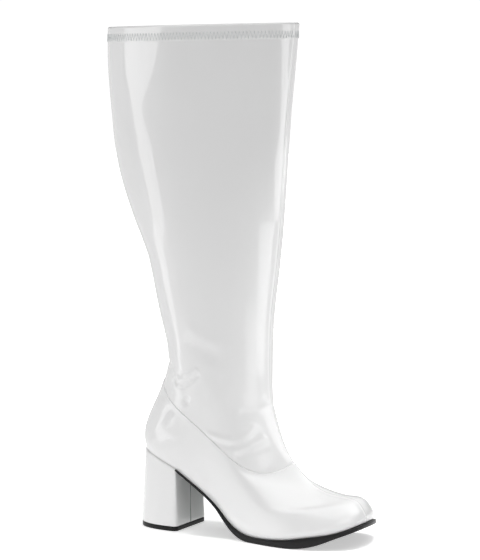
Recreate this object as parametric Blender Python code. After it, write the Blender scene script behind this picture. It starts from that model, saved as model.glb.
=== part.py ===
"""Knee-high patent boot with a block heel, right foot, standing empty on its sole.

Origin: on the heel's rest face, midway along it. +X runs to the toe, +Y to the big toe side, +Z up.
"""

import bmesh
import bpy
import numpy as np

# Named sizes, metres
BOOT_HEIGHT = 0.478
HEEL_HEIGHT = 0.076
FOOT_LENGTH = 0.2263
BALL_WIDTH = 0.080
COLLAR_DEPTH = 0.193
COLLAR_WIDTH = 0.104
SEAT_BACK = 0.0183
HEEL_BASE_LENGTH = 0.049
HEEL_BASE_WIDTH = 0.058
HEEL_BASE_SHIFT = 0.0015
HEEL_BASE_CORNER = 0.0045
HEEL_SEAT_CORNER = 0.0012

# Walls, steps and clearances
UPPER_WALL = 0.0015
PANEL_STEP = 0.0006
HEM_STEP = 0.0005
HEM_DEPTH = 0.014
SEAM_RISE = 0.00045
SEAM_WIDTH = 0.0024
SOLE_RIM = 0.0025
SOLE_EDGE_EASE = 0.0006
INSOLE_THICKNESS = 0.0024
TIP_THICKNESS = 0.0043
TIP_INSET = 0.0003
HEEL_PROUD = 0.0009
CURVED_GAP = 0.0003
FLAT_GAP = 0.0002

LEG_HEIGHT = BOOT_HEIGHT - HEEL_HEIGHT
BREAST_X = HEEL_BASE_LENGTH / 2

# Seat line: share of foot length from the back of the seat, share of heel height
FEATHER = (
    (0.0000, 1.0000),
    (0.0278, 0.9868),
    (0.0544, 0.9645),
    (0.0809, 0.9342),
    (0.1206, 0.8895),
    (0.1560, 0.8447),
    (0.1869, 0.7987),
    (0.2311, 0.7132),
    (0.2797, 0.6171),
    (0.3283, 0.5171),
    (0.3725, 0.4158),
    (0.3990, 0.3474),
    (0.4255, 0.2671),
    (0.4521, 0.1961),
    (0.4874, 0.1316),
    (0.5228, 0.0934),
    (0.5537, 0.0776),
    (0.5846, 0.0737),
    (0.6553, 0.0816),
    (0.7304, 0.1026),
    (0.8011, 0.1395),
    (0.8674, 0.1711),
    (0.9293, 0.2092),
    (0.9646, 0.2447),
    (1.0044, 0.2974),
)

# Underside of the outsole: the same shares
UNDERSIDE = (
    (0.1869, 0.7816),
    (0.2311, 0.6921),
    (0.2797, 0.5934),
    (0.3283, 0.4921),
    (0.3725, 0.3855),
    (0.3946, 0.3197),
    (0.4145, 0.2500),
    (0.4344, 0.1842),
    (0.4582, 0.1132),
    (0.4874, 0.0526),
    (0.5161, 0.0158),
    (0.5449, 0.0000),
    (0.7437, 0.0000),
    (0.8011, 0.0158),
    (0.8674, 0.0658),
    (0.9293, 0.1447),
    (0.9646, 0.1895),
    (1.0044, 0.2447),
    (1.0354, 0.2921),
)

# Curve of the foot to the big toe side at every 30 degrees from the back: share of ball width
CENTRE_LINE = (0.0, 0.0, -0.015, -0.010, 0.015, 0.114, 0.030)

# Foot rows from the seat line to the ankle.
# back, front: share of foot length. rise: height over the seat line at every 45 degrees from
# the back, share of leg height. half: half width at 30 to 150 degrees, share of ball width.
# curve: share of the centre line's curve. follow: share of the seat line's own shape.
FOOT_COLUMNS = (
    "back", "front",
    "rise_0", "rise_45", "rise_90", "rise_135", "rise_180",
    "half_30", "half_60", "half_90", "half_120", "half_150",
    "curve", "follow",
)
FOOT_ROWS = (
    (0.0000, 1.0018, 0.0000, 0.0000, 0.0000, 0.0000, 0.0011, 0.294, 0.318, 0.375, 0.512, 0.454, 1.00, 1.00),
    (-0.0049, 1.0018, 0.0124, 0.0124, 0.0124, 0.0124, 0.0150, 0.302, 0.330, 0.390, 0.524, 0.464, 1.00, 1.00),
    (-0.0093, 0.9867, 0.0294, 0.0299, 0.0323, 0.0274, 0.0310, 0.307, 0.345, 0.405, 0.522, 0.458, 1.00, 0.90),
    (-0.0066, 0.9602, 0.0522, 0.0544, 0.0623, 0.0535, 0.0459, 0.297, 0.362, 0.412, 0.510, 0.393, 0.95, 0.70),
    (0.0075, 0.9054, 0.0771, 0.0818, 0.0996, 0.0610, 0.0519, 0.282, 0.378, 0.420, 0.482, 0.335, 0.80, 0.45),
    (0.0296, 0.8210, 0.1045, 0.1067, 0.1344, 0.0809, 0.0598, 0.268, 0.385, 0.425, 0.448, 0.273, 0.55, 0.22),
    (0.0544, 0.7459, 0.1343, 0.1278, 0.1717, 0.1020, 0.0832, 0.255, 0.390, 0.429, 0.420, 0.219, 0.35, 0.08),
    (0.0773, 0.6801, 0.1679, 0.1490, 0.2078, 0.1269, 0.1215, 0.247, 0.395, 0.432, 0.403, 0.194, 0.20, 0.00),
    (0.0941, 0.6315, 0.1940, 0.1912, 0.2563, 0.1853, 0.1638, 0.247, 0.400, 0.440, 0.403, 0.194, 0.10, 0.00),
    (0.1038, 0.5952, 0.2239, 0.2298, 0.3110, 0.2450, 0.2148, 0.253, 0.407, 0.450, 0.407, 0.206, 0.05, 0.00),
    (0.1021, 0.5705, 0.2587, 0.2684, 0.3595, 0.2998, 0.2683, 0.260, 0.415, 0.460, 0.412, 0.231, 0.00, 0.00),
)
PANEL_ROW = 7

# Leg rows from the ankle to the collar.
# height, tilt: share of leg height over the seat. back, front: share of collar depth.
# half: half width, share of collar width.
LEG_COLUMNS = ("height", "tilt", "back", "front", "half")
LEG_ROWS = (
    (0.2488, 0.0473, 0.0052, 0.5658, 0.3635),
    (0.3433, 0.0274, -0.0332, 0.5710, 0.3942),
    (0.4502, 0.0149, -0.0808, 0.5990, 0.4269),
    (0.5672, 0.0075, -0.1772, 0.6249, 0.4596),
    (0.6841, 0.0025, -0.2528, 0.6435, 0.4808),
    (0.8010, 0.0000, -0.2845, 0.6622, 0.4923),
    (0.9080, -0.0037, -0.3036, 0.6860, 0.5000),
    (1.0000, -0.0052, -0.3026, 0.7026, 0.5000),
)
# Flattened oval of the leg: half width at 30 to 150 degrees, share of the row's half width
LEG_OVAL = (0.555, 0.890, 1.0, 0.890, 0.555)

# Loft divisions
HEEL_STEPS = 7
CORNER_STEPS = 3
FORE_STEPS = 16
FOOT_DIVISIONS = (1, 1, 2, 2, 2, 2, 2, 2, 2, 2)
LEG_DIVISIONS = (2, 2, 2, 2, 2, 2, 2, 2)

HEIGHT_ANGLES = np.radians((0.0, 45.0, 90.0, 135.0, 180.0))
WIDTH_ANGLES = np.radians((30.0, 60.0, 90.0, 120.0, 150.0))
CENTRE_ANGLES = np.radians((0.0, 30.0, 60.0, 90.0, 120.0, 150.0, 180.0))


def cubic(places, values, at):
    """Cubic through a table's points, each slope taken from the point's neighbours."""
    places = np.asarray(places, dtype=float)
    values = np.asarray(values, dtype=float)
    slopes = np.gradient(values, places, axis=0)
    i = np.clip(np.searchsorted(places, at, side="right") - 1, 0, len(places) - 2)
    span = places[i + 1] - places[i]
    s = np.clip((at - places[i]) / span, 0.0, 1.0)
    if values.ndim > 1 and np.ndim(s):
        s = s[:, None]
        span = span[:, None]
    low = (1 + 2 * s) * (1 - s) ** 2 * values[i] + s * (1 - s) ** 2 * span * slopes[i]
    high = s**2 * (3 - 2 * s) * values[i + 1] + s**2 * (s - 1) * span * slopes[i + 1]
    return low + high


def cosine_terms(angles, values):
    """Terms of the cosine series that passes through the values at the angles."""
    return np.linalg.solve(np.cos(np.outer(angles, np.arange(len(angles)))), values)


def sine_terms(angles, values):
    """Terms of the sine series that passes through the values at the angles."""
    return np.linalg.solve(np.sin(np.outer(angles, np.arange(1, len(angles) + 1))), values)


def cosine_sum(terms, angles):
    return np.cos(np.outer(angles, np.arange(len(terms)))) @ terms


def sine_sum(terms, angles):
    return np.sin(np.outer(angles, np.arange(1, len(terms) + 1))) @ terms


def along(angles):
    """Share of a row's length at each angle round it."""
    return (1 - np.cos(angles)) / 2


def seat_height(share):
    table = np.array(FEATHER)
    return HEEL_HEIGHT * cubic(table[:, 0], table[:, 1], share)


def underside_height(share):
    table = np.array(UNDERSIDE)
    return np.maximum(0.0, HEEL_HEIGHT * cubic(table[:, 0], table[:, 1], share))


def row_table():
    """All rows of the upper in metres: back, front, five heights, five half widths, curve, follow."""
    seat = seat_height(along(HEIGHT_ANGLES))
    rows = []
    for row in FOOT_ROWS:
        named = dict(zip(FOOT_COLUMNS, row))
        heights = seat + LEG_HEIGHT * np.array(row[2:7])
        halves = BALL_WIDTH * np.array(row[7:12])
        ends = FOOT_LENGTH * np.array((named["back"], named["front"])) - SEAT_BACK
        rows.append(np.concatenate((ends, heights, halves, (named["curve"], named["follow"]))))
    for row in LEG_ROWS:
        named = dict(zip(LEG_COLUMNS, row))
        heights = HEEL_HEIGHT + LEG_HEIGHT * (named["height"] + named["tilt"] * np.cos(HEIGHT_ANGLES))
        halves = COLLAR_WIDTH * named["half"] * np.array(LEG_OVAL)
        ends = COLLAR_DEPTH * np.array((named["back"], named["front"]))
        rows.append(np.concatenate((ends, heights, halves, (0.0, 0.0))))
    return np.array(rows)


ROWS = row_table()
SEAT_TERMS = cosine_terms(HEIGHT_ANGLES, seat_height(along(HEIGHT_ANGLES)))
CENTRE_TERMS = cosine_terms(CENTRE_ANGLES, BALL_WIDTH * np.array(CENTRE_LINE))
LAST_ROW = len(ROWS) - 1


def row_loop(row, angles):
    """Points of the upper's outer face at one row, at the given angles from the back centre."""
    values = cubic(np.arange(len(ROWS)), ROWS, row)
    back, front, curve, follow = values[0], values[1], values[12], values[13]
    x = back + (front - back) * along(angles)
    own_shape = seat_height(along(angles)) - cosine_sum(SEAT_TERMS, angles)
    z = cosine_sum(cosine_terms(HEIGHT_ANGLES, values[2:7]), angles) + follow * own_shape
    y = curve * cosine_sum(CENTRE_TERMS, angles) - sine_sum(sine_terms(WIDTH_ANGLES, values[7:12]), angles)
    return np.stack((x, y, z), axis=1)


def row_normals(row, angles):
    """Outward normals of the upper's outer face at one row."""
    above = row_loop(min(row + 0.05, LAST_ROW), angles)
    below = row_loop(max(row - 0.05, 0.0), angles)
    ahead = row_loop(row, angles + 0.01)
    behind = row_loop(row, angles - 0.01)
    normals = np.cross(ahead - behind, above - below)
    normals[:, 2] *= min(1.0, row)
    return normals / np.linalg.norm(normals, axis=1)[:, None]


def breast_angle():
    share = (BREAST_X + SEAT_BACK) / FOOT_LENGTH
    return np.arccos(1 - 2 * share)


def half_angles():
    """Angles from the back centre to the front centre, one of them at the heel breast."""
    heel = np.linspace(0.0, breast_angle(), HEEL_STEPS + 1)
    fore = np.linspace(breast_angle(), np.pi, FORE_STEPS + 1)
    return np.concatenate((heel, fore[1:]))


def round_angles(row):
    """Angles right round the upper at one row, with the edges of the raised front seam."""
    half = half_angles()
    slope = np.linalg.norm(row_loop(row, np.array((np.pi,))) - row_loop(row, np.array((np.pi - 0.02,))))
    reach = 0.02 * (SEAM_WIDTH / 2) / slope
    lateral = np.concatenate((half[:-1], (np.pi - 1.6 * reach, np.pi - 0.7 * reach, np.pi)))
    return np.concatenate((lateral, 2 * np.pi - lateral[-2:0:-1]))


def seam_share():
    """Share of the front seam's rise at each column."""
    half = np.zeros(HEEL_STEPS + FORE_STEPS + 3)
    half[-2:] = 1.0
    return np.concatenate((half, half[-2:0:-1]))


def row_places():
    """Rows of the upper's outer face, each with its step out of the wall."""
    divisions = FOOT_DIVISIONS + LEG_DIVISIONS
    places = [0.0]
    for index, count in enumerate(divisions):
        places += [index + (k + 1) / count for k in range(count)]
    top_gap = (ROWS[-1][2] - ROWS[-2][2]) / (LAST_ROW - (LAST_ROW - 1))
    hem = LAST_ROW - HEM_DEPTH / top_gap
    edge = 0.0003
    outer = []
    for place in places:
        if place < PANEL_ROW:
            outer.append((place, PANEL_STEP))
        elif place == PANEL_ROW:
            outer.append((place - 0.02, PANEL_STEP))
            outer.append((place + 0.02, 0.0))
        elif place < hem:
            outer.append((place, 0.0))
    outer.append((hem, 0.0))
    outer.append((hem + edge / top_gap, HEM_STEP))
    outer.append((LAST_ROW - edge * 3 / top_gap, HEM_STEP))
    outer.append((LAST_ROW, HEM_STEP / 4))
    inner = [place for place in places if place < hem] + [hem, LAST_ROW]
    return outer, inner


def new_object(name, bm, material, collection):
    """Turn the built faces outward and put them in a named object with its material."""
    bmesh.ops.recalc_face_normals(bm, faces=bm.faces[:])
    mesh = bpy.data.meshes.new(name)
    bm.to_mesh(mesh)
    bm.free()
    mesh.materials.append(material)
    obj = bpy.data.objects.new(name, mesh)
    collection.objects.link(obj)
    return obj


def add_ring(bm, points):
    return [bm.verts.new(point) for point in points]


def bridge(bm, low, high):
    """Faces between two closed rings with the same number of points."""
    count = len(low)
    for j in range(count):
        k = (j + 1) % count
        bm.faces.new((low[j], low[k], high[k], high[j]))


def ladder(bm, ring):
    """Close a ring whose lateral and medial points pair up, with faces straight across."""
    count = len(ring)
    pairs = count // 2
    for j in range(1, pairs):
        across = (ring[j], ring[j + 1], ring[(count - j - 1) % count], ring[count - j])
        if across[1] is across[2]:
            bm.faces.new((across[0], across[1], across[3]))
        else:
            bm.faces.new(across)
    bm.faces.new((ring[0], ring[1], ring[count - 1]))


def ladder_open(bm, ring):
    """Close a ring that starts and ends at a straight back edge, with faces straight across."""
    count = len(ring)
    for j in range(count // 2):
        across = (ring[j], ring[j + 1], ring[count - 2 - j], ring[count - 1 - j])
        if across[1] is across[2]:
            bm.faces.new((across[0], across[1], across[3]))
        else:
            bm.faces.new(across)


def build_upper(material, collection):
    """One wall from the sole to the collar: outer face with its steps, rims and inner face."""
    outer, inner = row_places()
    seam = seam_share()
    bm = bmesh.new()
    rings = []
    for place, step in outer:
        angles = round_angles(place)
        rise = step + SEAM_RISE * seam
        rings.append(add_ring(bm, row_loop(place, angles) + row_normals(place, angles) * rise[:, None]))
    for place in reversed(inner):
        angles = round_angles(place)
        rings.append(add_ring(bm, row_loop(place, angles) - row_normals(place, angles) * UPPER_WALL))
    for low, high in zip(rings, rings[1:]):
        bridge(bm, low, high)
    bridge(bm, rings[-1], rings[0])
    return new_object("upper", bm, material, collection)


def sole_columns():
    """Angles of the outsole's ring: lateral breast, toe, medial breast."""
    fore = half_angles()[HEEL_STEPS:]
    return np.concatenate((fore, 2 * np.pi - fore[-2::-1]))


def sole_ring(angles, reach, heights):
    """Ring round the sole at the upper's outline plus a reach, squared off at the breast."""
    normals = row_normals(0.0, angles)
    points = row_loop(0.0, angles) + normals * reach
    points[:, 2] = heights
    points[0, 0] = points[-1, 0] = BREAST_X + CURVED_GAP
    return points


def build_outsole(material, collection):
    """Black sole from the heel breast to the toe, with an eased edge and a flat tread."""
    angles = sole_columns()
    share = along(angles)
    top = seat_height(share) - CURVED_GAP
    under = underside_height(share)
    outline = PANEL_STEP + SOLE_RIM
    ease = SOLE_EDGE_EASE
    bm = bmesh.new()
    rings = (
        add_ring(bm, sole_ring(angles, PANEL_STEP, top)),
        add_ring(bm, sole_ring(angles, outline - ease, top)),
        add_ring(bm, sole_ring(angles, outline, top - ease)),
        add_ring(bm, sole_ring(angles, outline - ease / 2, under + ease)),
        add_ring(bm, sole_ring(angles, outline - 2 * ease, under)),
    )
    for low, high in zip(rings, rings[1:]):
        bridge(bm, low, high)
    ladder_open(bm, rings[0])
    ladder_open(bm, rings[-1])
    return new_object("outsole", bm, material, collection)


def breast_corners(half, radius):
    """Both sides of a heel outline, each turned into the flat breast by a rounded corner.

    half holds x, lateral y and medial y from the back to the start of the corner.
    """
    turn = np.linspace(0.0, np.pi / 2, CORNER_STEPS + 1)[1:]
    start, lateral, medial = half[-1]
    x = np.concatenate((half[:, 0], start + radius * np.sin(turn)))
    lateral = np.concatenate((half[:, 1], lateral + radius * (1 - np.cos(turn))))
    medial = np.concatenate((half[:, 2], medial - radius * (1 - np.cos(turn))))
    return np.stack((np.concatenate((x[::-1], x[1:])), np.concatenate((lateral[::-1], medial[1:]))), axis=1)


def heel_seat_ring():
    """D-shaped ring under the seat, flush with the upper's outline."""
    share = (BREAST_X - HEEL_SEAT_CORNER + SEAT_BACK) / FOOT_LENGTH
    angles = np.linspace(0.0, np.arccos(1 - 2 * share), HEEL_STEPS + 1)
    out = PANEL_STEP + HEEL_PROUD
    lateral = row_loop(0.0, angles) + row_normals(0.0, angles) * out
    medial = row_loop(0.0, -angles) + row_normals(0.0, -angles) * out
    half = np.stack((lateral[:, 0], lateral[:, 1], medial[:, 1]), axis=1)
    half[:, 0] += (BREAST_X - HEEL_SEAT_CORNER - half[-1, 0]) * along(angles) / share
    ring = breast_corners(half, HEEL_SEAT_CORNER)
    heights = seat_height((ring[:, 0] + SEAT_BACK) / FOOT_LENGTH) - CURVED_GAP
    return np.column_stack((ring, heights))


def heel_base_ring(height, inset):
    """D-shaped ring at the foot of the heel."""
    turn = np.linspace(0.0, np.pi / 2, HEEL_STEPS + 1)
    corner = HEEL_BASE_CORNER - inset
    x = BREAST_X - HEEL_BASE_CORNER - (HEEL_BASE_LENGTH - inset - HEEL_BASE_CORNER) * np.cos(turn) ** 0.8
    y = (HEEL_BASE_WIDTH / 2 - inset) * np.sin(turn) ** 0.75
    x[-1] = BREAST_X - HEEL_BASE_CORNER
    ring = breast_corners(np.stack((x, HEEL_BASE_SHIFT - y, HEEL_BASE_SHIFT + y), axis=1), corner)
    return np.column_stack((ring, np.full(len(ring), height)))


def build_heel(material, collection):
    """Covered block heel: straight loft from its D-shaped foot to the seat."""
    bm = bmesh.new()
    foot = heel_base_ring(TIP_THICKNESS + FLAT_GAP, 0.0)
    seat = heel_seat_ring()
    rings = [add_ring(bm, foot + (seat - foot) * share) for share in (0.0, 0.25, 0.5, 0.75, 1.0)]
    for low, high in zip(rings, rings[1:]):
        bridge(bm, low, high)
    ladder_open(bm, rings[0])
    ladder_open(bm, rings[-1])
    return new_object("heel_block", bm, material, collection)


def build_tip(material, collection):
    """Black top piece under the heel, its rest face on the floor."""
    bm = bmesh.new()
    rings = (
        add_ring(bm, heel_base_ring(0.0, TIP_INSET)),
        add_ring(bm, heel_base_ring(TIP_THICKNESS, TIP_INSET)),
    )
    bridge(bm, rings[0], rings[1])
    ladder_open(bm, rings[0])
    ladder_open(bm, rings[1])
    return new_object("top_piece", bm, material, collection)


def build_insole(material, collection):
    """Board inside the upper that follows the arch and closes it from underneath."""
    half = half_angles()
    angles = np.concatenate((half, 2 * np.pi - half[-2:0:-1]))
    inset = UPPER_WALL + CURVED_GAP
    bm = bmesh.new()
    rings = []
    for place, lift in ((0.0, CURVED_GAP), (0.5, CURVED_GAP + INSOLE_THICKNESS)):
        points = row_loop(place, angles) - row_normals(place, angles) * inset
        points[:, 2] = seat_height(along(angles)) + lift
        rings.append(add_ring(bm, points))
    bridge(bm, rings[0], rings[1])
    ladder(bm, rings[0])
    ladder(bm, rings[1])
    return new_object("insole", bm, material, collection)


def make_material(name, colour, roughness):
    material = bpy.data.materials.new(name)
    material.use_nodes = True
    shader = material.node_tree.nodes["Principled BSDF"]
    shader.inputs["Base Color"].default_value = (*colour, 1.0)
    shader.inputs["Roughness"].default_value = roughness
    return material


def main():
    for obj in list(bpy.data.objects):
        bpy.data.objects.remove(obj)
    collection = bpy.data.collections.new("knee_boot")
    bpy.context.scene.collection.children.link(collection)
    build_upper(make_material("upper_patent", (0.86, 0.87, 0.87), 0.12), collection)
    build_outsole(make_material("outsole_rubber", (0.012, 0.012, 0.013), 0.35), collection)
    build_heel(make_material("heel_patent", (0.84, 0.85, 0.85), 0.14), collection)
    build_tip(make_material("tip_rubber", (0.012, 0.012, 0.013), 0.4), collection)
    build_insole(make_material("insole_board", (0.55, 0.5, 0.43), 0.7), collection)


if __name__ == "__main__":
    main()
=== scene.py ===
"""Looks of a white patent knee boot, right foot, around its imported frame.

The frame's origin is on the heel's rest face, midway along it. +X runs to the toe, +Y to the big
toe side, +Z up. All lengths are in metres.
"""

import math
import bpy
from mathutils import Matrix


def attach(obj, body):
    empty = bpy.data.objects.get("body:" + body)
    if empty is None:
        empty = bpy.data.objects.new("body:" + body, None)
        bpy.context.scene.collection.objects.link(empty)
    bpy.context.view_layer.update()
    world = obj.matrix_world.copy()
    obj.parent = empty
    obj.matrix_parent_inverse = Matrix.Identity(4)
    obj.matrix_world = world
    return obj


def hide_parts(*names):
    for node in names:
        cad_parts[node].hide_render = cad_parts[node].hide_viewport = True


bl_info = {
    "name": "Patent knee boot",
    "version": (1, 0, 0),
    "blender": (4, 5, 0),
    "location": "3D View > Sidebar > Boot",
    "description": "Builds the pieces and finishes of a patent knee boot with a block heel",
    "category": "Object",
}

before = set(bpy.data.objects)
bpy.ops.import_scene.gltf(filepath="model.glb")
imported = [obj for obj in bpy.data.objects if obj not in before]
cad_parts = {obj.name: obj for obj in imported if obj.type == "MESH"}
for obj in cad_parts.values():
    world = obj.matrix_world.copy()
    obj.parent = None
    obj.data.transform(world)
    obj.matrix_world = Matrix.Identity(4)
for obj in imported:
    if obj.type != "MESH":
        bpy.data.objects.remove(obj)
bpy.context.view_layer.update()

import bmesh
import bpy
import numpy as np
from mathutils import Vector

BODY = "root"

# Main sizes of the boot
BOOT_HEIGHT = 0.478
HEEL_HEIGHT = 0.076
FOOT_LENGTH = 0.2263
BALL_WIDTH = 0.080
COLLAR_DEPTH = 0.193
COLLAR_WIDTH = 0.104
SEAT_BACK = 0.0183
HEEL_BASE_LENGTH = 0.049
HEEL_BASE_WIDTH = 0.058
HEEL_BASE_SHIFT = 0.0015
HEEL_BASE_CORNER = 0.0045
HEEL_SEAT_CORNER = 0.0012
TIP_THICKNESS = 0.0043
TIP_INSET = 0.0003
HEEL_PROUD = 0.0009
HEEL_BASE_POWERS = (0.8, 0.75)
PANEL_PROUD = 0.0006
LEG_HEIGHT = BOOT_HEIGHT - HEEL_HEIGHT
BREAST_X = HEEL_BASE_LENGTH / 2

# Small gaps and edges of the pieces
PIECE_GAP = 0.0001
BREAST_GAP = 0.0003
SEAT_GAP = 0.0003
SOLE_TUCK = 0.0015
PANEL_GROOVE = 0.0004
HEM_BLEND = 0.0025
HEM_EDGE = 0.0011
COLLAR_ROUND = 0.0012
COLLAR_INSET = 0.0003
COLLAR_CROWN = 0.0005
LINING_DROP = 0.0004

# Steps of the meshes, with the lining's rows above and below the panel edge
SOLE_COLUMNS = 80
SOCK_COLUMNS = 70
STITCH_POINTS = 360
HEEL_STEPS = 26
HEEL_RINGS = 30
CORNER_STEPS = 8
LINING_ROWS = (50, 40)
ROUND_COLUMNS = 180
# How far the upper's close columns lie from the front seam
SEAM_COLUMNS = (0.0003, 0.0006, 0.0009, 0.0012, 0.0016, 0.0021, 0.0028, 0.0038, 0.0052)
QUARTER_TURN = np.radians((0, 22.5, 45, 67.5, 90))

# Seat line: share of foot length from the back of the seat, share of heel height
FEATHER = (
    (0.0000, 1.0000), (0.0278, 0.9868), (0.0544, 0.9645), (0.0809, 0.9342), (0.1206, 0.8895),
    (0.1560, 0.8447), (0.1869, 0.7987), (0.2311, 0.7132), (0.2797, 0.6171), (0.3283, 0.5171),
    (0.3725, 0.4158), (0.3990, 0.3474), (0.4255, 0.2671), (0.4521, 0.1961), (0.4874, 0.1316),
    (0.5228, 0.0934), (0.5537, 0.0776), (0.5846, 0.0737), (0.6553, 0.0816), (0.7304, 0.1026),
    (0.8011, 0.1395), (0.8674, 0.1711), (0.9293, 0.2092), (0.9646, 0.2447), (1.0044, 0.2974),
)
# Underside of the outsole: the same shares
UNDERSIDE = (
    (0.1869, 0.7816), (0.2311, 0.6921), (0.2797, 0.5934), (0.3283, 0.4921), (0.3725, 0.3855),
    (0.3946, 0.3197), (0.4145, 0.2500), (0.4344, 0.1842), (0.4582, 0.1132), (0.4874, 0.0526),
    (0.5161, 0.0158), (0.5449, 0.0000), (0.7437, 0.0000), (0.8011, 0.0158), (0.8674, 0.0658),
    (0.9293, 0.1447), (0.9646, 0.1895), (1.0044, 0.2447), (1.0354, 0.2921),
)
# Curve of the foot to the big toe side at every 30 degrees from the back: share of ball width
CENTRE_LINE = (0.0, 0.0, -0.015, -0.010, 0.015, 0.114, 0.030)
# Foot rows from the seat line to the ankle: back and front as shares of foot length, five rises
# over the seat line as shares of leg height, five half widths as shares of ball width, share of
# the centre line's curve, share of the seat line's own shape
FOOT_ROWS = (
    (0.0000, 1.0018, 0.0000, 0.0000, 0.0000, 0.0000, 0.0011,
     0.294, 0.318, 0.375, 0.512, 0.454, 1.00, 1.00),
    (-0.0049, 1.0018, 0.0124, 0.0124, 0.0124, 0.0124, 0.0150,
     0.302, 0.330, 0.390, 0.524, 0.464, 1.00, 1.00),
    (-0.0093, 0.9867, 0.0294, 0.0299, 0.0323, 0.0274, 0.0310,
     0.307, 0.345, 0.405, 0.522, 0.458, 1.00, 0.90),
    (-0.0066, 0.9602, 0.0522, 0.0544, 0.0623, 0.0535, 0.0459,
     0.297, 0.362, 0.412, 0.510, 0.393, 0.95, 0.70),
    (0.0075, 0.9054, 0.0771, 0.0818, 0.0996, 0.0610, 0.0519,
     0.282, 0.378, 0.420, 0.482, 0.335, 0.80, 0.45),
    (0.0296, 0.8210, 0.1045, 0.1067, 0.1344, 0.0809, 0.0598,
     0.268, 0.385, 0.425, 0.448, 0.273, 0.55, 0.22),
    (0.0544, 0.7459, 0.1343, 0.1278, 0.1717, 0.1020, 0.0832,
     0.255, 0.390, 0.429, 0.420, 0.219, 0.35, 0.08),
    (0.0773, 0.6801, 0.1679, 0.1490, 0.2078, 0.1269, 0.1215,
     0.247, 0.395, 0.432, 0.403, 0.194, 0.20, 0.00),
    (0.0941, 0.6315, 0.1940, 0.1912, 0.2563, 0.1853, 0.1638,
     0.247, 0.400, 0.440, 0.403, 0.194, 0.10, 0.00),
    (0.1038, 0.5952, 0.2239, 0.2298, 0.3110, 0.2450, 0.2148,
     0.253, 0.407, 0.450, 0.407, 0.206, 0.05, 0.00),
    (0.1021, 0.5705, 0.2587, 0.2684, 0.3595, 0.2998, 0.2683,
     0.260, 0.415, 0.460, 0.412, 0.231, 0.00, 0.00),
)
PANEL_ROW = 7
# Leg rows: height and tilt as shares of leg height over the seat, back and front as shares of
# collar depth, half width as a share of collar width
LEG_ROWS = (
    (0.2488, 0.0473, 0.0052, 0.5658, 0.3635),
    (0.3433, 0.0274, -0.0332, 0.5710, 0.3942),
    (0.4502, 0.0149, -0.0808, 0.5990, 0.4269),
    (0.5672, 0.0075, -0.1772, 0.6249, 0.4596),
    (0.6841, 0.0025, -0.2528, 0.6435, 0.4808),
    (0.8010, 0.0000, -0.2845, 0.6622, 0.4923),
    (0.9080, -0.0037, -0.3036, 0.6860, 0.5000),
    (1.0000, -0.0052, -0.3026, 0.7026, 0.5000),
)
# Flattened oval of the leg: half width at 30 to 150 degrees, share of the row's half width
LEG_OVAL = (0.555, 0.890, 1.0, 0.890, 0.555)
# Rounded foot edge of the heel: how far each ring is pulled in and lifted, as shares of the radius
HEEL_EDGE_RINGS = ((2.0, 0.0), (1.0, 0.0), (0.62, 0.08), (0.29, 0.29), (0.08, 0.62), (0.0, 1.0))
# Places across the heel breast as shares of its width, each with the depth of the wrap's seam;
# where the wrap stands out, the depth is negative
BREAST_SEAM = (
    (0.1, 0), (0.25, 0), (0.4, 0), (0.46, 0), (0.475, -0.0001), (0.483, -0.00025),
    (0.4915, -0.0003), (0.5, -0.00025), (0.506, 0.0005), (0.512, 0.0001), (0.53, 0), (0.6, 0),
    (0.75, 0), (0.9, 0),
)

HEIGHT_ANGLES = np.radians((0.0, 45.0, 90.0, 135.0, 180.0))
WIDTH_ANGLES = np.radians((30.0, 60.0, 90.0, 120.0, 150.0))
CENTRE_ANGLES = np.radians((0.0, 30.0, 60.0, 90.0, 120.0, 150.0, 180.0))

# Camera: the fit to the photograph
CAMERA_TURN = math.radians(28.7)
CAMERA_DISTANCE = 2.2
CAMERA_HEIGHT = 0.477
CAMERA_PITCH = 0.107
CAMERA_AIM_X = 0.0786
FOCAL_PIXELS = 2360
IMAGE_HEIGHT = 560
SENSOR = 36.0

# Studio
STAGE_X = 0.035
FLOOR_HALF = 6.0
FLOOR_LEVEL = -0.0001
AIR_LIGHT = 0.33
AIR_SEEN = 1.05


def linear(code):
    """Linear colour of an sRGB hex code."""
    values = [int(code[i:i + 2], 16) / 255 for i in (1, 3, 5)]
    return tuple(v / 12.92 if v <= 0.04045 else ((v + 0.055) / 1.055) ** 2.4 for v in values)


# ---------------------------------------------------------------- the boot's form


def spline(places, values, at):
    """Smooth curve with even curvature through a table's points."""
    places = np.asarray(places, dtype=float)
    values = np.asarray(values, dtype=float)
    flat = values.reshape(len(places), -1)
    gaps = np.diff(places)
    system = np.zeros((len(places), len(places)))
    right = np.zeros_like(flat)
    system[0, 0] = system[-1, -1] = 1.0
    for i in range(1, len(places) - 1):
        system[i, i - 1:i + 2] = gaps[i - 1], 2 * (gaps[i - 1] + gaps[i]), gaps[i]
        right[i] = 6 * ((flat[i + 1] - flat[i]) / gaps[i] - (flat[i] - flat[i - 1]) / gaps[i - 1])
    bend = np.linalg.solve(system, right)
    at = np.clip(np.asarray(at, dtype=float), places[0], places[-1])
    shape = at.shape
    at = at.ravel()
    i = np.clip(np.searchsorted(places, at, side="right") - 1, 0, len(places) - 2)
    h = gaps[i][:, None]
    a = (places[i + 1] - at)[:, None] / h
    b = 1 - a
    curve = ((a**3 - a) * bend[i] + (b**3 - b) * bend[i + 1]) * h**2 / 6
    out = a * flat[i] + b * flat[i + 1] + curve
    return out.reshape(shape + values.shape[1:])


def along(angles):
    """Share of a row's length at each angle round it."""
    return (1 - np.cos(angles)) / 2


def seat_height(share):
    """Height of the seat line at each share of the foot's length."""
    table = np.array(FEATHER)
    return HEEL_HEIGHT * spline(table[:, 0], table[:, 1], share)


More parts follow.
